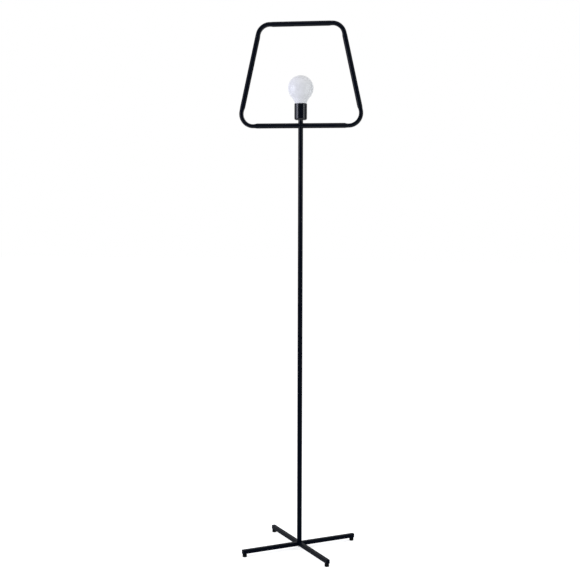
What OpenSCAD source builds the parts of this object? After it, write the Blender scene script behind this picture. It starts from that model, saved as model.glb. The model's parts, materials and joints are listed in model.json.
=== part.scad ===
// Floor lamp: a closed trapezoid loop of bent tube on a thin pole, with a globe bulb standing inside it.
// The origin is on the floor under the pole. +Z is up, and the loop lies in the XZ plane.

/* [Base] */
// Length of each leg bar from end to end
leg_span = 400; // [340:5:480]
// Side of the square leg bar
leg_side = 12.5; // [11:0.5:14]
// Radius of the leg bar's long edges
leg_edge_r = 0.8; // [0.4:0.1:1.5]
// Turn of the upper leg bar from the plane of the loop
leg_turn = 36; // [0:1:90]
// Gap between the two bars in their half-lapped crossing
lap_gap = 0.1; // [0.05:0.05:0.2]

/* [Feet] */
// Diameter of a foot
foot_d = 14; // [12:0.5:18]
// Height of a foot
foot_h = 10.5; // [8:0.5:14]
// Distance of a foot's centre from the end of its bar
foot_inset = 7.5; // [7:0.5:20]
// Radius of a foot's lower edge
foot_edge_r = 1.5; // [0.5:0.25:2.5]
// Depth of the recess for the foot's screw head
foot_recess = 3.5; // [3:0.25:4.5]

/* [Pole] */
// Outer diameter of the pole and of the neck above the loop
pole_d = 15.5; // [14:0.5:18]
// Wall of the pole tube
pole_wall = 1.2; // [1:0.1:1.4]
// Length of the pole from the crossing to the underside of the loop
pole_l = 1326.5; // [1000:0.5:1500]
// Length of the threaded bush in each end of the pole
bush_l = 15; // [10:1:25]
// Height up the loop's tube that the saddle of the pole and of the neck wraps
saddle_wrap = 4.5; // [3:0.5:5]

/* [Loop] */
// Width of the loop's lower bar between the corners of its centre line
loop_low_w = 398; // [340:1:460]
// Width of the loop's upper bar between the corners of its centre line
loop_top_w = 258; // [200:1:320]
// Height of the loop between the centre lines of its bars
loop_h = 314; // [260:1:380]
// Outer diameter of the loop's tube
loop_d = 16; // [14:0.5:18]
// Wall of the loop's tube
loop_wall = 1.2; // [1:0.1:1.5]
// Radius of the bends on the centre line
bend_r = 38; // [30:1:46]
// Depth to which the press flattens the inner side of the lower bends
low_press = 2.4; // [1:0.2:3.4]
// Depth to which the press flattens the inner side of the upper bends
top_press = 1.4; // [1:0.2:3.4]
// Depth by which the outer side of a bend sinks, as a share of that depth
outer_share = 0.4; // [0:0.1:0.5]
// Sideways growth of the pressed section, as a share of that depth
press_spread = 0.4; // [0:0.1:0.8]

/* [Neck and cup] */
// Height of the neck between the loop's lower bar and the cup
neck_h = 9; // [8:0.5:16]
// Outer diameter of the lampholder's cup
cup_d = 40; // [39.5:0.25:44]
// Height of the cup
cup_h = 51.5; // [49:0.5:54]
// Wall of the cup
cup_wall = 1; // [0.8:0.1:1.2]
// Radius of the cup's lower edge
cup_edge_r = 6; // [3:0.5:8]
// Radius of the outer edge of the cup's rim
cup_lip_r = 0.8; // [0.4:0.1:0.8]

/* [Lampholder] */
// Thickness of the strap that carries the insert
strap_t = 1.2; // [1:0.1:1.5]
// Width of the strap
strap_w = 14; // [13:0.5:15]
// Rise of the strap's ends above its middle
strap_rise = 3.2; // [3:0.1:4]
// Clearance between the cup's nut and the strap's raised ends
nut_room = 1; // [0.8:0.1:1.2]
// Distance of each insert screw from the axis
strap_screw_y = 10.6; // [10.4:0.1:11]
// Outer diameter of the ceramic insert
insert_d = 36.8; // [35:0.1:37.2]
// Height of the ceramic insert
insert_h = 32; // [30:0.5:33]
// Height of the wire room under the insert's floor
wire_room_h = 6.6; // [6:0.1:7]
// Radius of the wire room
wire_room_r = 8.7; // [8.5:0.1:8.9]
// Thickness of the insert's floor
insert_floor_t = 3; // [2.5:0.1:4]
// Smallest inner radius of the screw shell
shell_r = 13.6; // [13.5:0.05:13.8]
// Thickness of the screw shell's sheet
shell_t = 0.5; // [0.3:0.05:0.6]
// Thickness of the contact strips
strip_t = 0.6; // [0.4:0.05:0.8]
// Width of the contact strips
strip_w = 5; // [3:0.5:5.5]
// Distance of the contact strips from the terminals' inner faces
strip_inset = 1; // [0.8:0.1:1.4]
// Rise of the centre contact's tongue above the insert's floor
tongue_rise = 2.9; // [2:0.1:3.5]
// Distance of the terminals' inner faces from the axis
terminal_x = 9; // [8.9:0.1:9.4]
// Length of a terminal block, out from the axis
terminal_l = 5.5; // [5:0.1:5.6]
// Width of a terminal block
terminal_w = 5.2; // [4.5:0.1:6]
// Height of a terminal block
terminal_h = 5.6; // [5:0.1:5.8]

/* [Bulb] */
// Diameter of the globe
globe_d = 80; // [70:1:90]
// Length of the bulb from its contact to the top of the globe
bulb_l = 121; // [112:1:130]
// Thickness of the glass
glass_t = 1; // [0.7:0.1:1.3]
// Radius of the waist where the hollow curve of the bulb's neck would end
waist_r = 16.5; // [15.5:0.25:17]
// Depth of that waist below the globe's centre
waist_depth = 60; // [56:1:64]
// Radius of the glass's lower edge above the cap
shoulder_r = 4; // [3:0.5:4.5]
// Depth by which the hollow curve crosses the globe, so that the two meet in a fine edge
neck_bite = 0.02; // [0.01:0.01:0.1]
// Length of the cap with its contact
cap_l = 24; // [22:0.5:26]
// Diameter over the crests of the cap's thread
cap_d = 26.4; // [26:0.1:26.5]
// Depth of the thread's rounded groove
thread_depth = 0.9; // [0.6:0.1:1]
// Pitch of the thread
thread_pitch = 3.6; // [3.2:0.1:4]
// Thickness of the cap's sheet
cap_t = 0.4; // [0.3:0.05:0.5]
// Height of the cap's plain collar
collar_h = 4.5; // [3.5:0.5:6]
// Height of the black glass insulator
insulator_h = 4.2; // [3.5:0.1:5]
// Radius of the end contact
contact_r = 4; // [3.5:0.25:4.5]
// Height of the end contact
contact_h = 0.8; // [0.5:0.1:1]
// Radius of the glass stem
stem_r = 4.5; // [3.5:0.25:5.5]
// Height of the stem above the cap
stem_h = 28; // [20:1:30]
// Number of filaments
filament_count = 6; // [4:1:8]
// Radius of the circle on which the filaments stand
filament_ring_r = 9; // [6:0.5:12]
// Length of a filament
filament_l = 30; // [24:1:36]
// Radius of a filament
filament_r = 0.9; // [0.6:0.1:1.2]
// Height of the globe's centre above the filaments' lower ends
filament_drop = 10.5; // [8:0.5:14]
// Radius of the wires that carry the filaments
wire_r = 0.4; // [0.3:0.05:0.5]
// Width of the driver board
board_w = 15; // [12:0.5:17]
// Thickness of the driver board
board_t = 1.2; // [0.8:0.1:1.6]
// Radius of the capacitor on the board
capacitor_r = 3; // [2:0.25:3.5]

/* [Fasteners] */
// Diameter of the screw that holds the pole to the crossing
pole_screw_d = 6; // [5:0.5:6.5]
// Diameter of that screw's head
pole_screw_head_d = 10.5; // [9:0.5:12]
// Height of that screw's head
pole_screw_head_h = 3.3; // [2.5:0.1:4]
// Depth of the hexagon socket in that head
socket_depth = 2; // [1.2:0.1:2.2]
// Depth that the pole's screw reaches into its bush
pole_screw_reach = 11; // [8:1:14]
// Outer diameter of its washer
washer_d = 12; // [11:0.5:14]
// Thickness of its washer
washer_t = 1.6; // [1:0.1:2]
// Diameter of the screws in the feet, and of those in the insert
small_screw_d = 3; // [2.5:0.1:3.2]
// Diameter of the small screws' heads
small_head_d = 5.5; // [5:0.1:5.6]
// Height of the small screws' heads
small_head_h = 1.8; // [1.4:0.1:2]
// Depth that a foot's screw reaches into its bar
foot_screw_reach = 5; // [4:0.5:6]
// Diameter of the terminals' clamp screws
clamp_screw_d = 2.6; // [2:0.1:3]
// Outer diameter of the hollow threaded nipple
nipple_d = 10; // [9.5:0.25:10]
// Bore of the nipple
nipple_bore_d = 7; // [6:0.25:7.5]
// Height that the nipple stands above the cup's lower face
nipple_top = 7; // [6:0.1:7.2]
// Width of the cup's nut across its flats
nut_w = 14; // [13:0.25:14.25]
// Thickness of the cup's nut
nut_t = 3; // [2:0.1:3]

/* [Wiring] */
// Height of the cord's inlet above the crossing
inlet_h = 45; // [30:1:90]
// Diameter of the lead inside the pole
lead_d = 5; // [4.4:0.1:5.2]
// Radius of the lead's turn behind the inlet, on its centre line
lead_turn_r = 6.5; // [6.3:0.1:6.8]
// Diameter of an insulated core
core_d = 2; // [1.6:0.1:2.1]
// Radius of a core's turn towards its terminal
core_turn_r = 2.5; // [2:0.1:2.8]
// Depth that a core reaches into its terminal
core_reach = 4.4; // [3.5:0.1:4.6]
// Diameter of the inlet bush's body, which fills the hole in the pole
grommet_d = 8; // [7:0.25:9]
// Diameter of the inlet bush's flange
grommet_flange_d = 10.5; // [10:0.25:11.5]
// Thickness of that flange outside the pole
grommet_flange_t = 1.4; // [1:0.1:2]

/* [Fits] */
// Radial clearance of a screw or nipple in a threaded hole, and of a pressed bush
thread_gap = 0.05; // [0.02:0.01:0.08]
// Radial clearance of a screw or nipple in a plain hole
hole_gap = 0.2; // [0.1:0.05:0.3]
// Clearance between the saddles and the loop's tube
saddle_gap = 0.05; // [0.02:0.01:0.1]
// Clearance of an inner piece in its pocket
pocket_gap = 0.1; // [0.05:0.05:0.2]
// Height of the bulb's contact above the holder's tongue
seat_gap = 0.2; // [0.1:0.05:0.3]

/* [Hidden] */
$fn = 96;

// Colours as the photograph shows them
paint = [0.06, 0.065, 0.075];
foot_black = [0.03, 0.03, 0.03];
bare_steel = [0.62, 0.62, 0.64];
brass = [0.78, 0.62, 0.33];
nickel = [0.75, 0.74, 0.70];
ceramic = [0.93, 0.92, 0.89];
opal = [0.90, 0.90, 0.91];
clear_glass = [0.80, 0.86, 0.88];
sheath = [0.12, 0.12, 0.12];
line_brown = [0.36, 0.20, 0.10];
neutral_blue = [0.15, 0.30, 0.62];
filament_yellow = [0.95, 0.80, 0.35];
board_green = [0.12, 0.38, 0.22];

// Length by which a cut runs past the faces that it goes through
past = 1;

// Base
leg_z = foot_h + leg_side / 2;
leg_top = foot_h + leg_side;
foot_reach = leg_span / 2 - foot_inset;
foot_turns = [leg_turn, leg_turn + 90, leg_turn + 180, leg_turn - 90];
bar_hole_r = pole_screw_d / 2 + hole_gap;
hex_socket_r = pole_screw_head_d / 4;

// Pole and loop
pole_r = pole_d / 2;
pole_bore_r = pole_r - pole_wall;
loop_r = loop_d / 2;
low_bar_z = leg_top + pole_l + loop_r;
saddle_r = loop_r + saddle_gap;
side_lean = atan((loop_low_w - loop_top_w) / 2 / loop_h);
low_turn = 90 + side_lean;
top_turn = 90 - side_lean;
low_half = loop_low_w / 2 - bend_r * tan(low_turn / 2);
top_half = loop_top_w / 2 - bend_r * tan(top_turn / 2);
inner_r = bend_r - loop_r;
fade_steps = 3;
bend_step = 10;
loop_sides = 24;

// Inlet and lead
inlet_z = leg_top + inlet_h;
grommet_in_y = pole_bore_r - pole_wall;
grommet_out_y = pole_r + grommet_flange_t;
lead_r = lead_d / 2;

// Neck, cup and what the cup holds, as heights above the floor
cup_z = low_bar_z + loop_r + neck_h;
cup_r = cup_d / 2;
cup_bore_r = cup_r - cup_wall;
strap_z = cup_z + cup_wall;
strap_shoulder_y = nut_w / 2 + nut_room;
insert_z = strap_z + strap_rise + strap_t;
room_top = insert_z + wire_room_h;
insert_floor_z = room_top + insert_floor_t;
insert_top = insert_z + insert_h;
insert_r = insert_d / 2;
thread_mid = thread_depth / 2;
thread_parts = 32;
shell_low = insert_floor_z + tongue_rise + seat_gap;
insert_bore_r = shell_r + thread_depth + shell_t + pocket_gap;
shell_lip_r = (insert_bore_r + insert_r) / 2;
nipple_low = low_bar_z - loop_r - saddle_gap - bush_l;
nipple_high = cup_z + nipple_top;
lead_top = nipple_high + past;
core_x = lead_r / 2;
core_z = lead_top + core_turn_r;
core_end_x = terminal_x + core_reach;
strip_x = terminal_x + strip_inset;
clamp_x = terminal_x + terminal_l / 2;

// Bulb
bulb_tip = insert_floor_z + tongue_rise + seat_gap;
globe_z = bulb_tip + bulb_l - globe_d / 2;
globe_r = globe_d / 2;
cap_r = cap_d / 2;
cap_top = bulb_tip + cap_l;
insulator_top = bulb_tip + contact_h + insulator_h;
neck_hollow_r = (waist_r * waist_r + waist_depth * waist_depth - globe_r * globe_r)
    / (2 * (globe_r - waist_r));
shoulder_low = globe_z - cap_top;
shoulder_mid = shoulder_low - shoulder_r;
shoulder_wide = waist_r + neck_hollow_r
    - sqrt(pow(neck_hollow_r, 2) - pow(waist_depth - shoulder_mid, 2));
glass_mouth_r = cap_r - 2 * cap_t;

// A square with round corners, centred
module round_square(side, r) {
    square([side, side - 2 * r], center = true);
    square([side - 2 * r, side], center = true);
    for (x = [-1, 1], y = [-1, 1])
        translate([x, y] * (side / 2 - r)) circle(r);
}

// A leg bar along X, with the holes for the pole's screw and the feet's screws
module leg_bar() {
    difference() {
        translate([-leg_span / 2, 0, leg_z])
            rotate([90, 0, 90]) linear_extrude(leg_span) round_square(leg_side, leg_edge_r);
        translate([0, 0, foot_h - past]) cylinder(r = bar_hole_r, h = leg_side + 2 * past);
        for (x = [-1, 1])
            translate([x * foot_reach, 0, foot_h - past])
                cylinder(r = small_screw_d / 2 + thread_gap, h = foot_screw_reach + 2 * past);
    }
}

// The half that is cut from a bar where the other one crosses it
module lap_cut() {
    cut_w = leg_side + 2 * lap_gap;
    cut_h = leg_side / 2 + lap_gap / 2 + past;
    translate([-cut_w / 2, -leg_side / 2 - past, 0]) cube([cut_w, leg_side + 2 * past, cut_h]);
}

module leg_bar_lower() {
    color(paint) rotate(leg_turn - 90) difference() {
        leg_bar();
        translate([0, 0, leg_z - lap_gap / 2]) lap_cut();
    }
}

module leg_bar_upper() {
    color(paint) rotate(leg_turn) difference() {
        leg_bar();
        translate([0, 0, leg_z + lap_gap / 2]) mirror([0, 0, 1]) lap_cut();
    }
}

// A round foot under the end of a bar, turned to its place
module foot(turn) {
    color(foot_black) rotate(turn) translate([foot_reach, 0, 0]) difference() {
        rotate_extrude() {
            square([foot_d / 2 - foot_edge_r, foot_h]);
            translate([0, foot_edge_r]) square([foot_d / 2, foot_h - foot_edge_r]);
            intersection() {
                translate([foot_d / 2 - foot_edge_r, foot_edge_r]) circle(foot_edge_r);
                square([foot_d / 2, foot_h]);
            }
        }
        translate([0, 0, -past]) cylinder(r = small_head_d / 2 + hole_gap, h = foot_recess + past);
        cylinder(r = small_screw_d / 2 + hole_gap, h = foot_h + past);
    }
}

// A screw with a round head, its head's upper face at z = 0 and its shank upwards
module small_screw(shank_l) {
    translate([0, 0, -small_head_h]) cylinder(d = small_head_d, h = small_head_h);
    cylinder(d = small_screw_d, h = shank_l);
}

module foot_screws() {
    color(bare_steel) for (turn = foot_turns)
        rotate(turn) translate([foot_reach, 0, foot_recess])
            small_screw(foot_h - foot_recess + foot_screw_reach);
}

module pole_washer() {
    color(bare_steel) translate([0, 0, foot_h - washer_t]) difference() {
        cylinder(d = washer_d, h = washer_t);
        translate([0, 0, -past]) cylinder(r = bar_hole_r, h = washer_t + 2 * past);
    }
}

module pole_screw() {
    head_top = foot_h - washer_t;
    color(bare_steel) difference() {
        union() {
            translate([0, 0, head_top - pole_screw_head_h])
                cylinder(d = pole_screw_head_d, h = pole_screw_head_h);
            translate([0, 0, head_top]) cylinder(d = pole_screw_d, h = leg_top + pole_screw_reach - head_top);
        }
        translate([0, 0, head_top - pole_screw_head_h - past])
            cylinder(r = hex_socket_r, h = socket_depth + past, $fn = 6);
    }
}

// The round tube of the loop as a cutter, grown by a clearance
module low_bar_cut(r) {
    translate([-pole_d, 0, low_bar_z]) rotate([0, 90, 0]) cylinder(r = r, h = 2 * pole_d);
}

module pole_tube() {
    pole_top = low_bar_z - loop_r + saddle_wrap;
    color(paint) difference() {
        translate([0, 0, leg_top]) cylinder(r = pole_r, h = pole_top - leg_top);
        translate([0, 0, leg_top - past]) cylinder(r = pole_bore_r, h = pole_top - leg_top + 2 * past);
        low_bar_cut(saddle_r);
        translate([0, 0, inlet_z]) rotate([-90, 0, 0])
            cylinder(r = grommet_d / 2 + thread_gap, h = pole_d);
    }
}

// A bush pressed into the pole's bore, with a threaded hole
module pole_bush(hole_d) {
    difference() {
        cylinder(r = pole_bore_r - thread_gap, h = bush_l);
        translate([0, 0, -past]) cylinder(r = hole_d / 2 + thread_gap, h = bush_l + 2 * past);
    }
}

module pole_foot_bush() {
    color(bare_steel) translate([0, 0, leg_top]) pole_bush(pole_screw_d);
}

module pole_top_bush() {
    color(bare_steel) translate([0, 0, nipple_low]) pole_bush(nipple_d);
}

// The bush that lines the cord's way into the pole, at the back
module inlet_grommet() {
    color(foot_black) translate([0, 0, inlet_z]) difference() {
        union() {
            translate([0, grommet_in_y, 0]) rotate([-90, 0, 0])
                cylinder(d = grommet_d, h = grommet_out_y - grommet_in_y);
            difference() {
                translate([0, grommet_in_y, 0]) rotate([-90, 0, 0])
                    cylinder(d = grommet_flange_d, h = grommet_out_y - grommet_in_y);
                cylinder(r = pole_r + thread_gap, h = pole_d, center = true);
            }
        }
        rotate([-90, 0, 0]) cylinder(r = lead_r + hole_gap, h = pole_d);
    }
}

// Directions in the loop's plane: out of a bend's centre, and along the tube, at an angle about that centre
function out_dir(a) = [cos(a), sin(a)];
function run_dir(a) = [-sin(a), cos(a)];

// Depth to which a round die has pressed the tube's inner side, at a distance along the straight
function press_at(run, press) = sqrt(pow(inner_r + press, 2) - run * run) - inner_r;

// Stations along one corner: the straight that the die reaches, the bend, and the straight after it.
// Each is a point of the centre line, the angle of its outward direction and the depth of the press there.
function corner(about, from, turn, press) = let(
    steps = ceil(turn / bend_step),
    fade_l = sqrt(pow(inner_r + press, 2) - inner_r * inner_r),
    start = about + bend_r * out_dir(from),
    end = about + bend_r * out_dir(from + turn)) concat(
    [for (i = [fade_steps:-1:1]) let(run = fade_l * i / fade_steps)
        [start - run * run_dir(from), from, press_at(run, press)]],
    [for (i = [0:steps]) let(a = from + turn * i / steps) [about + bend_r * out_dir(a), a, press]],
    [for (i = [1:fade_steps]) let(run = fade_l * i / fade_steps)
        [end + run * run_dir(from + turn), from + turn, press_at(run, press)]]);

loop_stations = concat(
    corner([low_half, bend_r], -90, low_turn, low_press),
    corner([top_half, loop_h - bend_r], side_lean, top_turn, top_press),
    corner([-top_half, loop_h - bend_r], 90, top_turn, top_press),
    corner([-low_half, bend_r], 180 - side_lean, low_turn, low_press));

// The tube's section at a station: a circle of radius r, pressed flat on the side of the bend's centre
// and sunk on its outer side
function loop_ring(station, r, sides) = [for (j = [0:sides - 1]) let(
    a = 360 * j / sides,
    out = min(max(r * cos(a), station[2] - r), r - outer_share * station[2]),
    across = (r + press_spread * station[2] / 2) * sin(a),
    at = station[0] + out * out_dir(station[1])) [at.x, across, at.y]];

// The closed loop swept through its stations as a solid bar, its lower bar's axis at z = 0
module loop_bar(r, sides) {
    count = len(loop_stations);
    polyhedron(
        points = [for (station = loop_stations) each loop_ring(station, r, sides)],
        faces = [for (i = [0:count - 1], j = [0:sides - 1]) let(
            next_i = (i + 1) % count * sides,
            next_j = (j + 1) % sides,
            a = i * sides + j, b = i * sides + next_j,
            c = next_i + j, d = next_i + next_j) each [[a, c, b], [b, c, d]]]);
}

// The tube, bent to a closed loop, with the hole for the nipple through its lower bar
module loop_tube() {
    color(paint) translate([0, 0, low_bar_z]) difference() {
        loop_bar(loop_r, loop_sides);
        loop_bar(loop_r - loop_wall, loop_sides / 2);
        cylinder(r = nipple_d / 2 + hole_gap, h = 2 * loop_d, center = true);
    }
}

module neck_tube() {
    neck_low = low_bar_z + loop_r - saddle_wrap;
    color(paint) difference() {
        translate([0, 0, neck_low]) cylinder(r = pole_r, h = cup_z - neck_low);
        translate([0, 0, neck_low - past]) cylinder(r = pole_bore_r, h = cup_z - neck_low + 2 * past);
        low_bar_cut(saddle_r);
    }
}

module threaded_nipple() {
    color(bare_steel) translate([0, 0, nipple_low]) difference() {
        cylinder(d = nipple_d, h = nipple_high - nipple_low);
        translate([0, 0, -past]) cylinder(d = nipple_bore_d, h = nipple_high - nipple_low + 2 * past);
    }
}

// Half section of a cup with a round lower edge, open at the top
module cup_section(r, h, edge_r) {
    square([r - edge_r, h]);
    translate([0, edge_r]) square([r, h - edge_r]);
    intersection() {
        translate([r - edge_r, edge_r]) circle(edge_r);
        square([r, h]);
    }
}

// What is cut from a section's upper outer corner to round it
module corner_cut(r, h, edge_r) {
    translate([r - edge_r, h - edge_r]) difference() {
        square(edge_r + past);
        circle(edge_r);
    }
}

module holder_cup() {
    color(paint) translate([0, 0, cup_z]) difference() {
        rotate_extrude() difference() {
            cup_section(cup_r, cup_h, cup_edge_r);
            translate([0, cup_wall]) cup_section(cup_bore_r, cup_h, cup_edge_r - cup_wall);
            corner_cut(cup_r, cup_h, cup_lip_r);
        }
        cylinder(r = nipple_d / 2 + hole_gap, h = 2 * cup_wall + past, center = true);
    }
}

module cup_nut() {
    color(bare_steel) translate([0, 0, strap_z + strap_t]) difference() {
        cylinder(r = nut_w / 2 / cos(30), h = nut_t, $fn = 6);
        translate([0, 0, -past]) cylinder(r = nipple_d / 2 + thread_gap, h = nut_t + 2 * past);
    }
}

// The bent strip under the nut, whose raised ends carry the insert
module holder_strap() {
    end_y = strap_screw_y + small_head_d / 2;
    color(bare_steel) translate([0, 0, strap_z]) difference() {
        translate([-strap_w / 2, 0, 0]) rotate([90, 0, 90]) linear_extrude(strap_w) {
            translate([-strap_shoulder_y - strap_t, 0]) square([2 * (strap_shoulder_y + strap_t), strap_t]);
            for (side = [0, 1]) mirror([side, 0]) {
                translate([strap_shoulder_y, 0]) square([strap_t, strap_rise + strap_t]);
                translate([strap_shoulder_y, strap_rise]) square([end_y - strap_shoulder_y, strap_t]);
            }
        }
        translate([0, 0, -past]) cylinder(r = nipple_d / 2 + hole_gap, h = strap_t + 2 * past);
        for (y = [-1, 1]) translate([0, y * strap_screw_y, strap_rise - past])
            cylinder(r = small_screw_d / 2 + thread_gap, h = strap_t + 2 * past);
    }
}

// Room for a terminal block and for the strip above it, on the +X side, open to the wire room
module terminal_pocket() {
    pocket_x = wire_room_r - past;
    pocket_l = terminal_x + terminal_l + pocket_gap - pocket_x;
    translate([pocket_x, -terminal_w / 2 - pocket_gap, insert_z - past])
        cube([pocket_l, terminal_w + 2 * pocket_gap, wire_room_h + past]);
    translate([strip_x - pocket_gap, -strip_w / 2 - pocket_gap, room_top - past])
        cube([strip_t + 2 * pocket_gap, strip_w + 2 * pocket_gap, insert_floor_t + 2 * past]);
}

module holder_insert() {
    color(ceramic) difference() {
        translate([0, 0, insert_z]) cylinder(r = insert_r, h = insert_h);
        translate([0, 0, insert_floor_z]) cylinder(r = insert_bore_r, h = insert_h);
        translate([0, 0, insert_z - past]) cylinder(r = wire_room_r, h = wire_room_h + past);
        for (side = [0, 1]) mirror([side, 0, 0]) terminal_pocket();
        for (y = [-1, 1]) translate([0, y * strap_screw_y, insert_z - past])
            cylinder(r = small_screw_d / 2 + hole_gap, h = insert_h);
    }
}

module insert_screws() {
    color(bare_steel) for (y = [-1, 1])
        translate([0, y * strap_screw_y, insert_floor_z]) mirror([0, 0, 1])
            small_screw(insert_floor_z - strap_z - strap_rise);
}

// Radius of the rounded thread at a height along it, between its crest and its groove
function thread_r(crest_r, h) = crest_r - thread_mid + thread_mid * cos(360 * h / thread_pitch);

// Heights at which a thread's section is drawn, from its start up to a height
function thread_steps(top) = [for (i = [0:thread_parts]) top * i / thread_parts];

module screw_shell() {
    crest_r = shell_r + thread_depth;
    lip_z = insert_top - shell_low;
    steps = thread_steps(lip_z);
    color(brass) translate([0, 0, shell_low]) rotate_extrude() polygon(concat(
        [for (h = steps) [thread_r(crest_r, h), h]],
        [[thread_r(crest_r, lip_z), lip_z + shell_t], [shell_lip_r, lip_z + shell_t], [shell_lip_r, lip_z]],
        [for (i = [len(steps) - 1:-1:0]) [thread_r(crest_r, steps[i]) + shell_t, steps[i]]]));
}

// The strip from the line terminal that springs up under the bulb's contact
module centre_contact() {
    foot_z = insert_floor_z;
    tip_z = insert_floor_z + tongue_rise;
    color(brass) translate([0, strip_w / 2, 0]) rotate([90, 0, 0]) linear_extrude(strip_w) polygon([
        [strip_x, room_top], [strip_x + strip_t, room_top], [strip_x + strip_t, foot_z + strip_t],
        [contact_r, foot_z + strip_t], [contact_r / 2, tip_z], [-contact_r, tip_z],
        [-contact_r, tip_z - strip_t], [contact_r / 2 - strip_t, tip_z - strip_t],
        [contact_r - strip_t, foot_z], [strip_x, foot_z]]);
}

// The strip from the neutral terminal up to the lower edge of the screw shell
module side_contact() {
    foot_z = insert_floor_z;
    tab_x = thread_r(shell_r + thread_depth, 0) - strip_t / 2;
    color(brass) mirror([1, 0, 0]) translate([0, strip_w / 2, 0]) rotate([90, 0, 0])
        linear_extrude(strip_w) polygon([
            [strip_x, room_top], [strip_x + strip_t, room_top], [strip_x + strip_t, foot_z],
            [tab_x + strip_t, foot_z], [tab_x + strip_t, shell_low], [tab_x, shell_low],
            [tab_x, foot_z + strip_t], [strip_x, foot_z + strip_t]]);
}

// A terminal block on the +X side, with the core's hole and the clamp screw's hole
module terminal() {
    block_z = room_top - terminal_h;
    color(brass) difference() {
        translate([terminal_x, -terminal_w / 2, block_z]) cube([terminal_l, terminal_w, terminal_h]);
        translate([terminal_x - past, 0, core_z]) rotate([0, 90, 0])
            cylinder(r = core_d / 2 + thread_gap, h = core_end_x - terminal_x + past);
        translate([clamp_x, 0, block_z - past])
            cylinder(r = clamp_screw_d / 2 + thread_gap, h = core_z - block_z + past);
    }
}

module line_terminal() { terminal(); }

module neutral_terminal() { mirror([1, 0, 0]) terminal(); }

module clamp_screws() {
    color(bare_steel) for (x = [-1, 1]) translate([x * clamp_x, 0, insert_z])
        cylinder(d = clamp_screw_d, h = core_z - core_d / 2 - thread_gap - insert_z);
}

// The lead from the inlet, round its turn and up the pole, to just above the nipple
module inner_lead() {
    color(sheath) {
        translate([0, lead_turn_r, inlet_z]) rotate([-90, 0, 0])
            cylinder(r = lead_r, h = pole_r - lead_turn_r);
        translate([0, lead_turn_r, inlet_z + lead_turn_r]) rotate([0, 90, 0]) rotate(-90)
            rotate_extrude(angle = 90) translate([lead_turn_r, 0]) circle(lead_r);
        translate([0, 0, inlet_z + lead_turn_r])
            cylinder(r = lead_r, h = lead_top - inlet_z - lead_turn_r);
    }
}

// One core on the +X side, from the end of the lead into its terminal
module core() {
    turn_x = core_x + core_turn_r;
    translate([turn_x, 0, lead_top]) rotate([90, 0, 0]) rotate(90)
        rotate_extrude(angle = 90) translate([core_turn_r, 0]) circle(d = core_d);
    translate([turn_x, 0, core_z]) rotate([0, 90, 0])
        cylinder(d = core_d, h = core_end_x - turn_x - thread_gap);
}

module line_core() { color(line_brown) core(); }

module neutral_core() { color(neutral_blue) mirror([1, 0, 0]) core(); }

// The bulb's glass, filled and smaller by an inset: the globe, and its neck with a hollow curve above and
// a round shoulder below
module glass_solid(inset) {
    shoulder = shoulder_r - inset;
    blend_depth = (globe_r - inset) * waist_depth / (globe_r + neck_hollow_r);
    sphere(globe_r - inset);
    rotate_extrude() intersection() {
        difference() {
            translate([0, -waist_depth]) square([globe_r, waist_depth - blend_depth]);
            translate([waist_r + neck_hollow_r, -waist_depth]) circle(neck_hollow_r + neck_bite + inset);
        }
        union() {
            translate([0, -shoulder_mid]) square([globe_r, shoulder_mid]);
            translate([0, -shoulder_mid - shoulder]) square([shoulder_wide - shoulder_r, shoulder]);
            translate([shoulder_wide - shoulder_r, -shoulder_mid]) circle(shoulder);
        }
        translate([0, -shoulder_low]) square([globe_r, shoulder_low]);
    }
}

module bulb_glass() {
    color(opal) translate([0, 0, globe_z]) difference() {
        glass_solid(0);
        glass_solid(glass_t);
        translate([0, 0, -shoulder_low - past]) cylinder(r = glass_mouth_r, h = 2 * past + glass_t);
    }
}

// The glass stem: a flare that closes the mouth of the globe, and a tube that carries the wires
module bulb_stem() {
    seal_t = 2 * glass_t;
    color(clear_glass) translate([0, 0, cap_top]) {
        difference() {
            union() {
                cylinder(r = glass_mouth_r - pocket_gap, h = glass_t);
                cylinder(r = stem_r, h = stem_h);
            }
            translate([0, 0, -past]) cylinder(r = stem_r - glass_t, h = stem_h - seal_t + past);
        }
    }
}

// Places something at each filament
module each_filament() {
    for (i = [0:filament_count - 1]) rotate(360 * i / filament_count) children();
}

module filament_wires() {
    post_low = cap_top + stem_h;
    low_z = globe_z - filament_drop;
    high_z = low_z + filament_l;
    color(bare_steel) {
        translate([0, 0, post_low]) cylinder(r = 2 * wire_r, h = high_z + wire_r - post_low);
        each_filament() for (z = [low_z - wire_r, high_z + wire_r])
            translate([0, 0, z]) rotate([0, 90, 0]) cylinder(r = wire_r, h = filament_ring_r + filament_r);
    }
}

module led_filaments() {
    color(filament_yellow) each_filament()
        translate([filament_ring_r, 0, globe_z - filament_drop]) cylinder(r = filament_r, h = filament_l);
}

// The small board inside the cap, with one capacitor lying against it
module driver_board() {
    board_low = insulator_top;
    board_h = cap_top - glass_t - board_low;
    color(board_green) {
        translate([-board_w / 2, -board_t / 2, board_low]) cube([board_w, board_t, board_h]);
        translate([0, board_t / 2, board_low + board_h / 2]) rotate([-90, 0, 0])
            cylinder(r = capacitor_r, h = capacitor_r);
    }
}

// The threaded cap: rounded thread below, plain collar above
module bulb_cap() {
    thread_h = cap_top - collar_h - insulator_top;
    steps = thread_steps(thread_h);
    color(nickel) translate([0, 0, insulator_top]) rotate_extrude() {
        polygon(concat(
            [for (h = steps) [thread_r(cap_r, h), h]],
            [[cap_r, thread_h + collar_h], [cap_r - cap_t, thread_h + collar_h]],
            [for (i = [len(steps) - 1:-1:0]) [thread_r(cap_r, steps[i]) - cap_t, steps[i]]]));
    }
}

module bulb_insulator() {
    color(foot_black) translate([0, 0, bulb_tip + contact_h])
        cylinder(r1 = contact_r + 2 * cap_t, r2 = thread_r(cap_r, 0), h = insulator_h);
}

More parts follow.
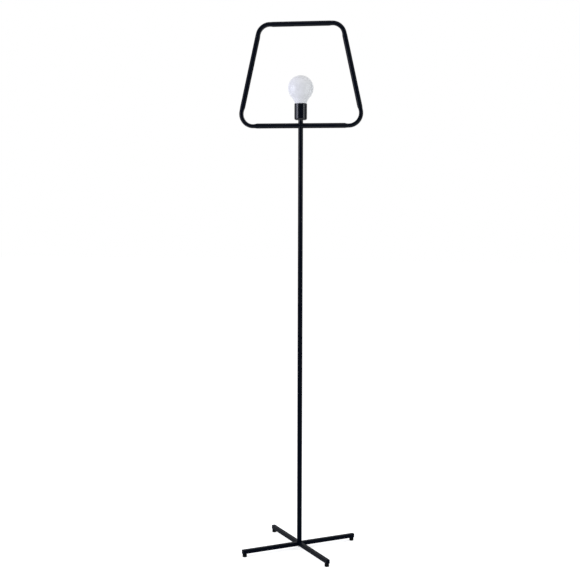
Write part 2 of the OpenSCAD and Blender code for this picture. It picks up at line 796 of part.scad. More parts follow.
module bulb_contact() {
    color(bare_steel) translate([0, 0, bulb_tip])
        cylinder(r1 = contact_r - contact_h, r2 = contact_r, h = contact_h);
}

leg_bar_lower();
leg_bar_upper();
foot(foot_turns[0]);  // foot_right_back
foot(foot_turns[1]);  // foot_left_back
foot(foot_turns[2]);  // foot_left_front
foot(foot_turns[3]);  // foot_right_front
foot_screws();
pole_washer();
pole_screw();
pole_tube();
pole_foot_bush();
pole_top_bush();
inlet_grommet();
loop_tube();
neck_tube();
threaded_nipple();
holder_cup();
cup_nut();
holder_strap();
holder_insert();
insert_screws();
screw_shell();
centre_contact();
side_contact();
line_terminal();
neutral_terminal();
clamp_screws();
inner_lead();
line_core();
neutral_core();
bulb_glass();
bulb_stem();
filament_wires();
led_filaments();
driver_board();
bulb_cap();
bulb_insulator();
bulb_contact();
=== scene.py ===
import json
import math
import bpy
from mathutils import Matrix, Vector


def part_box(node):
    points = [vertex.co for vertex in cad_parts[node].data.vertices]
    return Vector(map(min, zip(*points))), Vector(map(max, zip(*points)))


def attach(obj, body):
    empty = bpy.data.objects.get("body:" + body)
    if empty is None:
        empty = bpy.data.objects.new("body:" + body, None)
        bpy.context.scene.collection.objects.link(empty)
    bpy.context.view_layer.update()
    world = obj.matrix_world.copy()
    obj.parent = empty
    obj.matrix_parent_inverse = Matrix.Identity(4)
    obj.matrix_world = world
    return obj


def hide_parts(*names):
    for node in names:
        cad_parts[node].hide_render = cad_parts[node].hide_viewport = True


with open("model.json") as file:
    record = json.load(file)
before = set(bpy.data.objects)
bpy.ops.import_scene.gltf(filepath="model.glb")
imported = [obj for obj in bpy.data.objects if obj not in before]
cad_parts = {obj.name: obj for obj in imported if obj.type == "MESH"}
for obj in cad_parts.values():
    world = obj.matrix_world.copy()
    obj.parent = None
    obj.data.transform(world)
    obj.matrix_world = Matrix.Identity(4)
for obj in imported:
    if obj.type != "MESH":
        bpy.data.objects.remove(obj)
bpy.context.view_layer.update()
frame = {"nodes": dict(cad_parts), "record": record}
nodes = frame["nodes"]
print("frame loaded,", len(nodes), "nodes")


def deselect():
    if bpy.context.mode != "OBJECT":
        bpy.ops.object.mode_set(mode="OBJECT")
    bpy.ops.object.select_all(action="DESELECT")


deselect()

# the camera stands where the photograph was taken from
cameraPlace = {
    "away": 3.4721,        # from the lamp's axis
    "turn": 9.79,          # degrees round the axis, from the front towards +X
    "height": 1.1482,
    "down": 5.06,          # degrees below level
    "roll": 0.18,
    "lens": 68.15,
    "sensor": 36,
    "shift": -0.01747,
}


def makeCamera(at):
    turn = math.radians(at["turn"])
    data = bpy.data.cameras.new("camera")
    data.lens = at["lens"]
    data.sensor_width = at["sensor"]
    data.shift_x = at["shift"]
    camera = bpy.data.objects.new("camera", data)
    bpy.context.scene.collection.objects.link(camera)
    camera.location = (at["away"] * math.sin(turn), -at["away"] * math.cos(turn), at["height"])
    look = (Matrix.Rotation(turn, 3, "Z")
            @ Matrix.Rotation(math.radians(90 - at["down"]), 3, "X")
            @ Matrix.Rotation(math.radians(at["roll"]), 3, "Z"))
    camera.rotation_euler = look.to_euler("XYZ")
    bpy.context.scene.camera = camera


makeCamera(cameraPlace)
print("camera placed")


# A socket of a node tree that takes part in sums with numbers and other sockets
class Value:
    def __init__(self, tree, socket):
        self.tree = tree
        self.socket = socket

    def sum(self, operation, first, second):
        return self.tree.add("ShaderNodeMath", {"operation": operation}, {0: first, 1: second})

    def __add__(self, other):
        return self.sum("ADD", self, other)

    def __sub__(self, other):
        return self.sum("SUBTRACT", self, other)

    def __rsub__(self, other):
        return self.sum("SUBTRACT", other, self)

    def __mul__(self, other):
        return self.sum("MULTIPLY", self, other)

    __radd__ = __add__
    __rmul__ = __mul__


# The node tree of a finish, a stage piece or the world
class Tree:
    def __init__(self, nodeTree):
        self.nodes = nodeTree.nodes
        self.links = nodeTree.links
        self.nodes.clear()

    def pick(self, sockets, key):
        if isinstance(key, int):
            return sockets[key]
        return next(s for s in sockets if key in (s.identifier, s.name))

    def add(self, kind, settings=None, values=None, output=0):
        node = self.nodes.new(kind)
        for name, value in (settings or {}).items():
            setattr(node, name, value)
        for key, value in (values or {}).items():
            socket = self.pick(node.inputs, key)
            if isinstance(value, Value):
                self.links.new(value.socket, socket)
            else:
                socket.default_value = value
        return Value(self, self.pick(node.outputs, output)) if node.outputs else None

    def place(self):
        return self.add("ShaderNodeTexCoord", output="Object")

    def along(self, axis):
        return self.add("ShaderNodeSeparateXYZ", {}, {"Vector": self.place()}, axis)

    # size of its blobs in metres; the stretch is a scale of the place along each axis
    def noise(self, size, detail, stretch=None):
        place = self.place()
        if stretch:
            place = self.add("ShaderNodeMapping", {}, {"Vector": place, "Scale": stretch})
        return self.add("ShaderNodeTexNoise", {}, {"Vector": place, "Scale": 1 / size, "Detail": detail})

    def ramp(self, value, low, high):
        return self.add("ShaderNodeMapRange", {"interpolation_type": "SMOOTHSTEP"}, {
            "Value": value, "From Min": low, "From Max": high, "To Min": 0.0, "To Max": 1.0})

    def mix(self, share, first, second):
        return self.add("ShaderNodeMix", {"data_type": "RGBA"}, {
            "Factor_Float": share, "A_Color": (*first, 1), "B_Color": (*second, 1)}, output="Result_Color")

    def bump(self, height, depth):
        return self.add("ShaderNodeBump", {}, {"Height": height, "Distance": depth, "Strength": 1.0})

    # 1 on what is seen, mirrored or looked through, 0 on what only lights
    def shown(self):
        ray = self.add("ShaderNodeLightPath", output="Is Camera Ray")
        gloss = self.add("ShaderNodeLightPath", output="Is Glossy Ray")
        through = self.add("ShaderNodeLightPath", output="Is Transmission Ray")
        return ray + gloss + through


def grey(level):
    return (level, level, level, 1)


def newMaterial(name):
    material = bpy.data.materials.new(name)
    material.use_nodes = True
    return material, Tree(material.node_tree)


# A finish is a Principled shader whose fixed values stand on its own sockets
def finish(name, look, build):
    material, tree = newMaterial(name)
    values = dict(look["fixed"])
    values.update(build(tree, look))
    shader = tree.add("ShaderNodeBsdfPrincipled", {}, values)
    tree.add("ShaderNodeOutputMaterial", {}, {"Surface": shader})
    return material


blackPaintLook = {
    "fixed": {"Specular IOR Level": 0.015, "IOR": 1.5, "Coat Roughness": 0.20},
    "colour": (0.0010, 0.0023, 0.0070),
    "dusty": (0.0028, 0.0044, 0.0080),
    "cloud": (0.045, 3.0),         # size and detail of the dusty clouds, of the peel and of its grain
    "peel": (0.0011, 2.0),
    "grain": (0.000275, 1.0),
    "blend": (0.35, 0.7),
    "rough": 0.34,
    "roughChange": 0.10,
    "roughGrain": 0.06,
    "grainShare": 0.25,            # of the bump's height
    "peelDepth": 0.000006,
    "skin": 0.72,                  # weight of the coat's smooth skin on the cup
    "skinLeast": 0.9,              # share of that weight where no cloud adds to it
    "skinCloud": 0.2,
    "tubeShare": 0.24,             # of the skin, on the tubes at the head; it fades towards the floor
    "tubeFrom": 0.10,              # heights between which it grows
    "tubeTo": 1.35,
    "cupSide": (0.0205, 0.0230),   # the cup's mask fades between these distances from the axis along X
    "cupFrom": (1.368, 1.374),     # and between these heights, below and above
    "cupTo": (1.430, 1.436),
}


# satin powder coat: a very dark blue-black with a fine orange peel
def blackPaint(tree, look):
    cloud = tree.noise(*look["cloud"])
    peel = tree.noise(*look["peel"])
    grain = tree.noise(*look["grain"])
    height = tree.along("Z")
    beside = tree.add("ShaderNodeMath", {"operation": "ABSOLUTE"}, {0: tree.along("X")})
    cup = 1 - tree.ramp(beside, *look["cupSide"])
    cup = cup * tree.ramp(height, *look["cupFrom"]) * (1 - tree.ramp(height, *look["cupTo"]))
    tubes = tree.ramp(height, look["tubeFrom"], look["tubeTo"])
    skin = (1 - look["tubeShare"]) * cup + look["tubeShare"] * tubes * tubes
    rough = look["rough"] + (cloud - 0.5) * look["roughChange"]
    return {
        "Base Color": tree.mix(tree.ramp(cloud, *look["blend"]), look["colour"], look["dusty"]),
        "Roughness": rough + (grain - 0.5) * look["roughGrain"],
        "Coat Weight": skin * (look["skinLeast"] + cloud * look["skinCloud"]) * look["skin"],
        "Normal": tree.bump(peel + grain * look["grainShare"], look["peelDepth"]),
    }


# Most finishes: a noise of spots mixes two colours and changes the roughness. A grain makes the bump, or the
# spots where there is no grain. A noise is a size in metres, a detail and, for some, a stretch.
def plain(tree, look):
    spots = tree.noise(*look["spots"])
    grain = tree.noise(*look["grain"]) if "grain" in look else spots
    share = tree.ramp(spots, *look["blend"]) if "blend" in look else spots
    return {
        "Base Color": tree.mix(share, look["colour"], look["other"]),
        "Roughness": look["rough"] + spots * look["roughChange"],
        "Normal": tree.bump(grain, look["depth"]),
    }


# milk white all through, with a soft gloss on its skin and a slow ripple
opalLook = {
    "fixed": {"IOR": 1.5},
    "colour": (0.795, 0.80, 0.835), "other": (0.775, 0.78, 0.81), "blend": (0.3, 0.7),
    "spots": (0.03, 2.0), "grain": (0.016, 1.0), "depth": 0.000008,
    "rough": 0.30, "roughChange": 0.04,
}
# moulded feet with scuffs and a fine grain
rubberLook = {
    "fixed": {"Specular IOR Level": 0.05},
    "colour": (0.0022, 0.0034, 0.0036), "other": (0.006, 0.007, 0.007), "blend": (0.5, 0.75),
    "spots": (0.004, 4.0), "grain": (0.0005, 2.0), "depth": 0.00003,
    "rough": 0.62, "roughChange": 0.2,
}
plasticLook = {
    "fixed": {"Specular IOR Level": 0.3},
    "colour": (0.012, 0.012, 0.013), "other": (0.02, 0.02, 0.021), "blend": (0.4, 0.7),
    "spots": (0.0004, 2.0), "depth": 0.00002,
    "rough": 0.42, "roughChange": 0.12,
}
# bright brass, tarnished in places
brassLook = {
    "fixed": {"Metallic": 1.0},
    "colour": (0.70, 0.50, 0.20), "other": (0.42, 0.27, 0.10), "blend": (0.45, 0.75),
    "spots": (0.005, 4.0), "grain": (0.0004, 2.0), "depth": 0.000005,
    "rough": 0.2, "roughChange": 0.25,
}
# unglazed and specked, with small pits
ceramicLook = {
    "fixed": {"IOR": 1.52},
    "colour": (0.74, 0.72, 0.68), "other": (0.60, 0.57, 0.52), "blend": (0.55, 0.75),
    "spots": (0.0008, 3.0), "grain": (0.0003, 1.0), "depth": 0.00003,
    "rough": 0.5, "roughChange": 0.2,
}
# the sheath of a lead or core: soft plastic with fine lines along its run
sheathLook = {
    "fixed": {},
    "blend": (0.4, 0.7),
    "spots": (0.0005, 2.0, (1.0, 1.0, 0.05)), "depth": 0.00001,
    "rough": 0.4, "roughChange": 0.15,
}
leadLook = {**sheathLook, "colour": (0.02, 0.02, 0.021), "other": (0.03, 0.03, 0.031)}
brownLook = {**sheathLook, "colour": (0.11, 0.05, 0.02), "other": (0.15, 0.07, 0.03)}
blueLook = {**sheathLook, "colour": (0.02, 0.07, 0.28), "other": (0.03, 0.10, 0.36)}
phosphorLook = {
    "fixed": {},
    "colour": (0.86, 0.62, 0.14), "other": (0.92, 0.74, 0.26),
    "spots": (0.0003, 2.0), "depth": 0.00002,
    "rough": 0.55, "roughChange": 0.2,
}
# lacquer over a woven board
boardLook = {
    "fixed": {},
    "colour": (0.02, 0.11, 0.04), "other": (0.04, 0.17, 0.07),
    "spots": (0.0006, 2.0, (3.0, 1.0, 1.0)), "depth": 0.00001,
    "rough": 0.3, "roughChange": 0.15,
}
# nickel plate: bright, faintly warm, with scuffs that run round the cap
nickelLook = {
    "fixed": {"Metallic": 1.0},
    "colour": (0.70, 0.68, 0.63), "other": (0.55, 0.53, 0.48), "blend": (0.5, 0.8),
    "spots": (0.0025, 4.0, (1.0, 1.0, 6.0)), "grain": (0.0005, 2.0), "depth": 0.000004,
    "rough": 0.18, "roughChange": 0.16,
}
blackGlassLook = {
    "fixed": {"IOR": 1.52},
    "colour": (0.010, 0.010, 0.012), "other": (0.022, 0.020, 0.022),
    "spots": (0.004, 2.0), "depth": 0.00004,
    "rough": 0.12, "roughChange": 0.1,
}
solderLook = {
    "fixed": {"Metallic": 1.0},
    "colour": (0.42, 0.42, 0.43), "other": (0.60, 0.60, 0.61),
    "spots": (0.0016, 3.0), "depth": 0.00006,
    "rough": 0.3, "roughChange": 0.25,
}
zincLook = {
    "fixed": {"Metallic": 1.0},
    "colour": (0.52, 0.54, 0.58), "yellow": (0.60, 0.57, 0.50), "blend": (0.35, 0.65),
    "cast": (0.006, 3.0), "marks": (0.0006, 2.0, (0.2, 0.2, 4.0)), "depth": 0.000006,
    "rough": 0.26, "roughChange": 0.18,
}


# zinc-plated steel: pale grey with a faint yellow and blue cast, and fine turning marks
def zincSteel(tree, look):
    cast = tree.noise(*look["cast"])
    marks = tree.noise(*look["marks"])
    return {
        "Base Color": tree.mix(tree.ramp(cast, *look["blend"]), look["colour"], look["yellow"]),
        "Roughness": look["rough"] + marks * look["roughChange"],
        "Normal": tree.bump(marks, look["depth"]),
    }


clearLook = {
    "fixed": {"IOR": 1.5, "Transmission Weight": 1.0, "Base Color": (0.92, 0.95, 0.95, 1)},
    "haze": (0.006, 2.0),
    "rough": 0.03,
    "roughChange": 0.04,
}


def clearGlass(tree, look):
    return {"Roughness": look["rough"] + tree.noise(*look["haze"]) * look["roughChange"]}


finishes = {
    "black_paint": finish("blackPaint", blackPaintLook, blackPaint),
    "foot_rubber": finish("footRubber", rubberLook, plain),
    "black_plastic": finish("blackPlastic", plasticLook, plain),
    "zinc_steel": finish("zincSteel", zincLook, zincSteel),
    "contact_brass": finish("contactBrass", brassLook, plain),
    "ceramic": finish("whiteCeramic", ceramicLook, plain),
    "lead_sheath": finish("leadSheath", leadLook, plain),
    "brown_core": finish("brownCore", brownLook, plain),
    "blue_core": finish("blueCore", blueLook, plain),
    "opal_glass": finish("opalGlass", opalLook, plain),
    "clear_glass": finish("clearGlass", clearLook, clearGlass),
    "filament_phosphor": finish("phosphor", phosphorLook, plain),
    "green_board": finish("greenBoard", boardLook, plain),
    "nickel_cap": finish("nickelCap", nickelLook, plain),
    "black_glass": finish("blackGlass", blackGlassLook, plain),
    "solder": finish("solder", solderLook, plain),
}
for part in frame["record"]["subparts"]:
    for slot in nodes[part["node"]].material_slots:
        slot.material = finishes[part["material_slot"]]
print("finishes made:", len(finishes))


weld = 0.00001             # vertices nearer than this are one


# Ends a piece's modelling: clean mesh, outward faces, smooth shading, finish, body and the node it replaces.
# Edges that turn by more than the given degrees stay sharp.
def settle(piece, name, slotName, body, node, smooth):
    deselect()
    piece.name = name
    piece.select_set(True)
    bpy.context.view_layer.objects.active = piece
    bpy.ops.object.transform_apply(location=True, rotation=True, scale=True)
    bpy.ops.object.mode_set(mode="EDIT")
    bpy.ops.mesh.select_all(action="SELECT")
    bpy.ops.mesh.remove_doubles(threshold=weld)
    bpy.ops.mesh.normals_make_consistent(inside=False)
    bpy.ops.object.mode_set(mode="OBJECT")
    bpy.ops.object.shade_smooth_by_angle(angle=math.radians(smooth))
    piece.data.materials.clear()
    piece.data.materials.append(finishes[slotName])
    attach(piece, body)
    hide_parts(node)
    deselect()


def extrudeBy(x, y, z):
    bpy.ops.mesh.extrude_region_move(TRANSFORM_OT_translate={"value": (x, y, z)})


# the bent tube: the same widths, bends and press marks as the solid one
loopValues = {
    "lowWidth": 0.398,
    "topWidth": 0.258,
    "height": 0.314,
    "tube": 0.008,
    "bend": 0.038,
    "lowPress": 0.0024,
    "topPress": 0.0014,
    "outerShare": 0.4,     # of the press, by which the outer side sinks
    "spread": 0.4,
    "soft": 0.2,           # rounding of the press mark's edge, as a share of its depth
    "markEnd": 0.999,      # share of the mark's length that is pressed
    "sides": 48,
    "bendSteps": 30,
    "fadeSteps": 8,
    "weld": 0.00002,
    "smooth": 35,
    "farPast": 20,         # in soft widths; from there on the soft start of the push no longer shows
}


# How far a vertex past a limit is pushed back; the push sets in softly
def eased(past, soft, farPast):
    return past if past > farPast * soft else soft * math.log1p(math.exp(past / soft))


# Presses the part of the tube that lies in one bend or in the straights that the round die reaches
def pressBend(vertex, bend, v):
    centre, start, turn, press = bend
    inner = v["bend"] - v["tube"]
    out = vertex.co - centre
    out.y = 0
    middle = start + turn / 2
    angle = (math.atan2(out.z, out.x) - middle + math.pi) % (2 * math.pi) - math.pi
    bound = max(-turn / 2, min(turn / 2, angle)) + middle
    outward = Vector((math.cos(bound), 0, math.sin(bound)))
    reach = out.dot(outward)
    run = (out - outward * reach).length if abs(angle) > turn / 2 else 0.0
    if reach < 0 or run >= math.sqrt((inner + press) ** 2 - inner ** 2) * v["markEnd"]:
        return
    depth = math.sqrt((inner + press) ** 2 - run ** 2) - inner
    soft = v["soft"] * depth
    sunk = reach - v["bend"] - v["tube"] + v["outerShare"] * depth
    vertex.co += outward * eased(inner + depth - reach, soft, v["farPast"])
    vertex.co -= outward * eased(sunk, soft, v["farPast"])
    vertex.co.y *= 1 + v["spread"] * depth / 2 / v["tube"]


def makeLoop(v):
    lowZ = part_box("loop_tube")[0].z + v["tube"]
    lean = math.atan((v["lowWidth"] - v["topWidth"]) / 2 / v["height"])
    lowTurn, topTurn = math.pi / 2 + lean, math.pi / 2 - lean
    lowHalf = v["lowWidth"] / 2 - v["bend"] * math.tan(lowTurn / 2)
    topHalf = v["topWidth"] / 2 - v["bend"] * math.tan(topTurn / 2)
    lowCentreZ, topCentreZ = lowZ + v["bend"], lowZ + v["height"] - v["bend"]
    sideRun = v["height"] / math.cos(lean) - v["bend"] * (math.tan(lowTurn / 2) + math.tan(topTurn / 2))
    bends = [
        (Vector((lowHalf, 0, lowCentreZ)), -math.pi / 2, lowTurn, v["lowPress"]),
        (Vector((topHalf, 0, topCentreZ)), lean, topTurn, v["topPress"]),
        (Vector((-topHalf, 0, topCentreZ)), math.pi / 2, topTurn, v["topPress"]),
        (Vector((-lowHalf, 0, lowCentreZ)), math.pi - lean, lowTurn, v["lowPress"]),
    ]
    runs = [lowHalf, sideRun, 2 * topHalf, sideRun]
    fade = math.sqrt((v["bend"] - v["tube"] + v["lowPress"]) ** 2 - (v["bend"] - v["tube"]) ** 2)
    fadeStops = [fade / v["fadeSteps"]] * v["fadeSteps"]

    deselect()
    bpy.ops.mesh.primitive_circle_add(vertices=v["sides"], radius=v["tube"], fill_type="NOTHING",
                                      location=(0, 0, lowZ), rotation=(0, math.pi / 2, 0))
    loop = bpy.context.object
    bpy.ops.object.mode_set(mode="EDIT")
    bpy.ops.mesh.select_all(action="SELECT")

    heading = 0.0
    for i, ((centre, _, turn, _), run) in enumerate(zip(bends, runs)):
        before = fadeStops if i else []
        for length in before + [run - fade - sum(before)] + fadeStops:
            extrudeBy(length * math.cos(heading), 0, length * math.sin(heading))
        bpy.ops.mesh.spin(steps=v["bendSteps"], angle=turn, center=centre, axis=(0, 1, 0))
        heading += turn
    for length in fadeStops + [lowHalf - fade]:
        extrudeBy(length, 0, 0)
    bpy.ops.mesh.select_all(action="SELECT")
    bpy.ops.mesh.remove_doubles(threshold=v["weld"])
    bpy.ops.object.mode_set(mode="OBJECT")
    bpy.ops.object.transform_apply(location=True, rotation=True, scale=True)

    for vertex in loop.data.vertices:
        for bend in bends:
            pressBend(vertex, bend, v)
    settle(loop, "loopTube", "black_paint", "stand", "loop_tube", v["smooth"])


makeLoop(loopValues)
print("loop bent")


# a turned piece, ring on ring from the bottom up; each stop is a radius and a height
def turned(stops, sides, closed=(True, True)):
    deselect()
    radius, height = stops[0]
    bpy.ops.mesh.primitive_circle_add(vertices=sides, radius=radius, fill_type="NOTHING",
                                      location=(0, 0, height))
    piece = bpy.context.object
    bpy.ops.object.mode_set(mode="EDIT")
    bpy.ops.mesh.select_all(action="SELECT")
    if closed[0]:
        bpy.ops.mesh.edge_face_add()
        bpy.ops.mesh.select_all(action="SELECT")
    for nextRadius, nextHeight in stops[1:]:
        extrudeBy(0, 0, nextHeight - height)
        grow = nextRadius / radius
        bpy.ops.transform.resize(value=(grow, grow, 1), center_override=(0, 0, nextHeight))
        radius, height = nextRadius, nextHeight
    if closed[1]:
        bpy.ops.mesh.edge_face_add()
    bpy.ops.object.mode_set(mode="OBJECT")
    return piece


globeValues = {
    "globe": 0.040,
    "length": 0.121,
    "waist": 0.0165,
    "waistDepth": 0.060,
    "shoulder": 0.004,
    "cap": 0.024,
    "mouth": 0.0128,
    "sides": 96,
    "shoulderSteps": 8,
    "neckSteps": 16,
    "step": 3.0,           # degrees between the rings of the globe
    "smooth": 60,
}


def makeGlobe(v):
    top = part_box("bulb_glass")[1].z
    centre = top - v["globe"]
    mouthZ = top - v["length"] + v["cap"]
    hollow = ((v["waist"] ** 2 + v["waistDepth"] ** 2 - v["globe"] ** 2)
              / (2 * (v["globe"] - v["waist"])))
    hollowX, hollowZ = v["waist"] + hollow, centre - v["waistDepth"]
    shoulderZ = mouthZ + v["shoulder"]
    wide = hollowX - math.sqrt(hollow ** 2 - (hollowZ - shoulderZ) ** 2)
    stops = [(v["mouth"], mouthZ)]
    for i in range(v["shoulderSteps"] + 1):                 # round shoulder above the cap
        a = math.radians(-90 + 90 * i / v["shoulderSteps"])
        stops.append((wide - v["shoulder"] * (1 - math.cos(a)), shoulderZ + v["shoulder"] * math.sin(a)))
    blend = math.asin(v["waistDepth"] / (v["globe"] + hollow))
    start = math.asin((shoulderZ - hollowZ) / hollow)
    for i in range(1, v["neckSteps"] + 1):                  # hollow curve of the neck
        a = start + (blend - start) * i / v["neckSteps"]
        stops.append((hollowX - hollow * math.cos(a), hollowZ + hollow * math.sin(a)))
    count = round((math.pi / 2 + blend) / math.radians(v["step"]))
    for i in range(1, count):                               # the globe, up to a small ring at its top
        a = -blend + (math.pi / 2 + blend) * i / count
        stops.append((v["globe"] * math.cos(a), centre + v["globe"] * math.sin(a)))
    globe = turned(stops, v["sides"], (False, True))
    settle(globe, "bulbGlobe", "opal_glass", "bulb", "bulb_glass", v["smooth"])


makeGlobe(globeValues)
print("globe blown")


# Joins the two open ends of a turned sheet
def closeSheet(piece):
    bpy.ops.object.mode_set(mode="EDIT")
    bpy.ops.mesh.select_all(action="DESELECT")
    bpy.ops.mesh.select_non_manifold()
    bpy.ops.mesh.bridge_edge_loops()
    bpy.ops.object.mode_set(mode="OBJECT")


# Winds a rounded thread into a turned sheet between two heights, by moving its rings out and in
def windThread(piece, low, high, depth, pitch, runOut):
    for vertex in piece.data.vertices:
        x, y, z = vertex.co
        radius = math.hypot(x, y)
        fadeIn = min((z - low) / runOut, (high - z) / runOut, 1.0)
        if fadeIn <= 0:
            continue
        phase = 2 * math.pi * z / pitch - math.atan2(y, x)
        grown = radius + depth / 2 * math.cos(phase) * fadeIn
        vertex.co.x, vertex.co.y = x * grown / radius, y * grown / radius


# Heights from one to another, both ends taken in
def heights(low, high, step):
    count = max(1, round((high - low) / step))
    return [low + (high - low) * i / count for i in range(count + 1)]


capValues = {
    "radius": 0.0132,      # over the thread's crests
    "depth": 0.0009,
    "pitch": 0.0036,
    "sheet": 0.0004,
    "collar": 0.0045,
    "bead": 0.00025,       # the rolled edge at the collar's top
    "runOut": 0.0012,      # length over which the thread fades at its ends
    "sides": 96,
    "step": 0.0003,
    "smooth": 50,
}


# the bulb's cap: pressed sheet with a wound thread and a plain collar
def makeCap(v):
    low, high = (corner.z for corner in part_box("bulb_cap"))
    collarZ = high - v["collar"]
    middle = v["radius"] - v["depth"] / 2
    rows = heights(low + v["step"], collarZ - v["step"], v["step"])
    stops = [(middle - v["depth"] / 2, low)] + [(middle, z) for z in rows]
    rim = v["radius"] - v["bead"]
    stops += [(rim, collarZ + v["bead"]), (rim, high - 3 * v["bead"])]
    stops += [(v["radius"], high - 2 * v["bead"]), (v["radius"], high - v["bead"])]
    stops += [(rim, high), (v["radius"] - v["sheet"], high)]
    stops += [(v["radius"] - v["sheet"] - v["bead"], collarZ)]
    stops += [(middle - v["sheet"], z) for z in reversed(rows)]
    stops += [(middle - v["depth"] / 2 - v["sheet"], low)]
    cap = turned(stops, v["sides"], (False, False))
    closeSheet(cap)
    windThread(cap, low, collarZ, v["depth"], v["pitch"], v["runOut"])
    settle(cap, "bulbCapThreaded", "nickel_cap", "bulb", "bulb_cap", v["smooth"])


makeCap(capValues)

shellValues = {
    "inner": 0.0136,       # radius over the crests that stand inwards
    "depth": 0.0009,
    "pitch": 0.0036,
    "sheet": 0.0005,
    "lip": 0.01675,
    "runOut": 0.0012,      # length over which the thread fades at its ends
    "sides": 96,
    "step": 0.0003,
    "smooth": 50,
}


# the lampholder's screw shell: brass sheet with a wound thread and a lip on the ceramic's edge
def makeShell(v):
    low, high = (corner.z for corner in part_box("screw_shell"))
    lipZ = high - v["sheet"]
    middle = v["inner"] + v["depth"] / 2
    rows = heights(low, lipZ - v["step"], v["step"])
    stops = [(middle, z) for z in rows] + [(middle, high - v["step"] / 2), (middle + v["step"], high)]
    stops += [(v["lip"], high), (v["lip"], lipZ), (middle + v["sheet"] + v["step"], lipZ)]
    stops += [(middle + v["sheet"], z) for z in reversed(rows)]
    shell = turned(stops, v["sides"], (False, False))
    closeSheet(shell)
    windThread(shell, low - v["pitch"], lipZ - v["step"], v["depth"], v["pitch"], v["runOut"])
    settle(shell, "screwShellThreaded", "contact_brass", "stand", "screw_shell", v["smooth"])


makeShell(shellValues)
print("threads wound")

screwValues = {
    "head": 0.00275,
    "headHeight": 0.0018,
    "crown": 0.0006,       # by which the head's edge is rounded
    "shank": 0.0015,
    "thread": 0.00025,
    "pitch": 0.0005,
    "cross": (0.0030, 0.0007, 0.0022),     # length, width and twice the depth of the cross recess
    "sides": 32,
    "smooth": 40,
}


# One pan-head screw with a cross recess, its head at one height and its tip at the other, above or below
def makeScrew(x, y, headZ, tipZ, v):
    way = 1 if tipZ > headZ else -1
    bearing = headZ + way * v["headHeight"]
    stops = [(v["head"] - v["crown"], headZ), (v["head"] - v["crown"] / 3, headZ + way * v["crown"] / 3)]
    stops += [(v["head"], headZ + way * v["crown"]), (v["head"], bearing), (v["shank"], bearing)]
    count = int(abs(tipZ - bearing) / v["pitch"])
    for i in range(1, count):
        stops.append((v["shank"] - v["thread"] * (i % 2), bearing + way * i * v["pitch"]))
    stops += [(v["shank"] / 2, tipZ)]
    screw = turned(stops, v["sides"])
    for turn in (0, math.pi / 2):
        deselect()
        bpy.ops.mesh.primitive_cube_add(size=1, location=(0, 0, headZ), rotation=(0, 0, turn),
                                        scale=v["cross"])
        slot = bpy.context.object
        bpy.context.view_layer.objects.active = screw
        cut = screw.modifiers.new("cross", "BOOLEAN")
        cut.operation = "DIFFERENCE"
        cut.object = slot
        bpy.ops.object.modifier_apply(modifier=cut.name)
        bpy.data.objects.remove(slot)
    screw.location.x, screw.location.y = x, y
    return screw


# The screws of one node, joined in one piece
def makeScrews(name, node, places, heads, tips, v):
    screws = [makeScrew(x, y, heads, tips, v) for x, y in places]
    deselect()
    for screw in screws:
        screw.select_set(True)
    bpy.context.view_layer.objects.active = screws[0]
    bpy.ops.object.transform_apply(location=True, rotation=True, scale=True)
    bpy.ops.object.join()
    settle(screws[0], name, "zinc_steel", "stand", node, v["smooth"])


# The middle of a node's box, seen from above
def middleOf(node):
    low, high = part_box(node)
    return ((low.x + high.x) / 2, (low.y + high.y) / 2)


feet = ["foot_right_back", "foot_left_back", "foot_left_front", "foot_right_front"]
footLow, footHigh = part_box("foot_screws")
makeScrews("footScrewsCrossed", "foot_screws", [middleOf(foot) for foot in feet], footLow.z, footHigh.z,
           screwValues)
insertLow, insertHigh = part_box("insert_screws")
insertY = insertHigh.y - screwValues["head"]
makeScrews("insertScrewsCrossed", "insert_screws", [(0, insertY), (0, -insertY)], insertHigh.z, insertLow.z,
           screwValues)
print("screws cut")

# the pale floor keeps the lamp's soft shadow
floorLook = {"size": 30.0, "colour": 0.83, "glow": 0.60}


def makeFloor(look):
    deselect()
    bpy.ops.mesh.primitive_plane_add(size=look["size"], location=(0, 0, 0))
    floor = bpy.context.object
    floor.name = "floor"
    material, tree = newMaterial("paleFloor")
    matt = tree.add("ShaderNodeBsdfDiffuse", {}, {"Color": grey(look["colour"])})
    strength = tree.shown() * look["glow"]
    glow = tree.add("ShaderNodeEmission", {}, {"Color": grey(1), "Strength": strength})
    both = tree.add("ShaderNodeAddShader", {}, {0: matt, 1: glow})
    tree.add("ShaderNodeOutputMaterial", {}, {"Surface": both})
    floor.data.materials.append(material)
    deselect()


makeFloor(floorLook)

# the dark screen round the front and sides, a painted dark reflection: only the gloss shows it, it lights
# nothing and has no shadow
screenLook = {
    "away": 4.4,           # from the lamp's axis
    "height": 5.0,
    "open": 50,            # degrees left open on either side of straight back
    "sides": 72,
    "colour": 0.08,
}


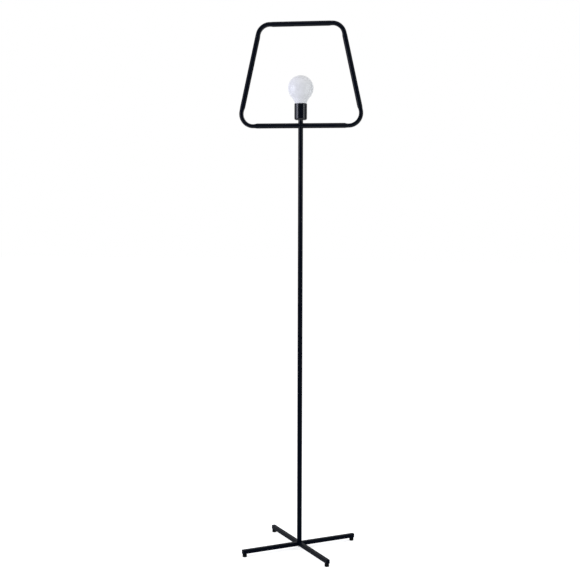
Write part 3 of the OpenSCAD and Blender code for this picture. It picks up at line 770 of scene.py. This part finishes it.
def makeScreen(look):
    deselect()
    bpy.ops.mesh.primitive_cylinder_add(vertices=look["sides"], radius=look["away"], depth=look["height"],
                                        end_fill_type="NOTHING", location=(0, 0, look["height"] / 2))
    screen = bpy.context.object
    screen.name = "darkScreen"
    back = Matrix.Rotation(math.radians(cameraPlace["turn"]), 3, "Z") @ Vector((0, 1, 0))
    bpy.ops.object.mode_set(mode="EDIT")
    bpy.ops.mesh.select_all(action="DESELECT")
    bpy.ops.object.mode_set(mode="OBJECT")
    for face in screen.data.polygons:
        face.select = face.normal.angle(back) < math.radians(look["open"])
    bpy.ops.object.mode_set(mode="EDIT")
    bpy.ops.mesh.delete(type="FACE")
    bpy.ops.object.mode_set(mode="OBJECT")
    # painted reflection: a dark sheet seen only in the gloss, so the glossy black pieces mirror dark instead
    # of the white room
    material, tree = newMaterial("paintedDarkReflection")
    reflectionSheet = tree.add("ShaderNodeBsdfDiffuse", {}, {"Color": grey(look["colour"])})
    tree.add("ShaderNodeOutputMaterial", {}, {"Surface": reflectionSheet})
    screen.data.materials.append(material)
    screen.visible_camera = False
    screen.visible_diffuse = False
    screen.visible_transmission = False
    screen.visible_shadow = False
    deselect()


makeScreen(screenLook)

# a white room: full white where it is seen, mirrored or looked through, softer where it lights
worldLook = {"level": 0.50}


def makeWorld(look):
    world = bpy.data.worlds.new("studio")
    bpy.context.scene.world = world
    world.use_nodes = True
    tree = Tree(world.node_tree)
    level = tree.shown() * (1 - look["level"]) + look["level"]
    sky = tree.add("ShaderNodeBackground", {}, {"Color": grey(1), "Strength": level})
    tree.add("ShaderNodeOutputWorld", {}, {"Surface": sky})


makeWorld(worldLook)

# soft boxes: name, place, what it faces, width, height, watts, colour
lampPlan = {
    "aboveBox": ((0.3, -0.8, 3.4), (0, 0, 0.8), 2.4, 2.0, 10, (1, 1, 1)),
    "leftLamp": ((-2.04, -1.45, 1.45), (0, 0, 1.4), 0.36, 0.7, 7.6, (0.96, 0.97, 1.07)),
    "leftWall": ((-2.23, -1.13, 1.45), (0, 0, 1.4), 2.4, 1.6, 30, (0.93, 0.96, 1.14)),
    "rightLamp": ((2.28, -1.02, 1.45), (0, 0, 1.4), 0.28, 0.5, 2.4, (0.98, 1, 1.02)),
    "rightWall": ((2.46, -0.44, 1.40), (0, 0, 1.4), 1.9, 2.4, 23, (0.96, 1.02, 1.02)),
}


def makeLamps(plan):
    for name, (place, target, width, height, watts, colour) in plan.items():
        data = bpy.data.lights.new(name, "AREA")
        data.shape = "RECTANGLE"
        data.size, data.size_y = width, height
        data.energy = watts
        data.color = colour
        lamp = bpy.data.objects.new(name, data)
        bpy.context.scene.collection.objects.link(lamp)
        lamp.location = place
        lamp.rotation_euler = (Vector(target) - Vector(place)).to_track_quat("-Z", "Y").to_euler()


makeLamps(lampPlan)
bpy.context.scene.view_settings.view_transform = "Standard"
print("floor, world and lamps set")
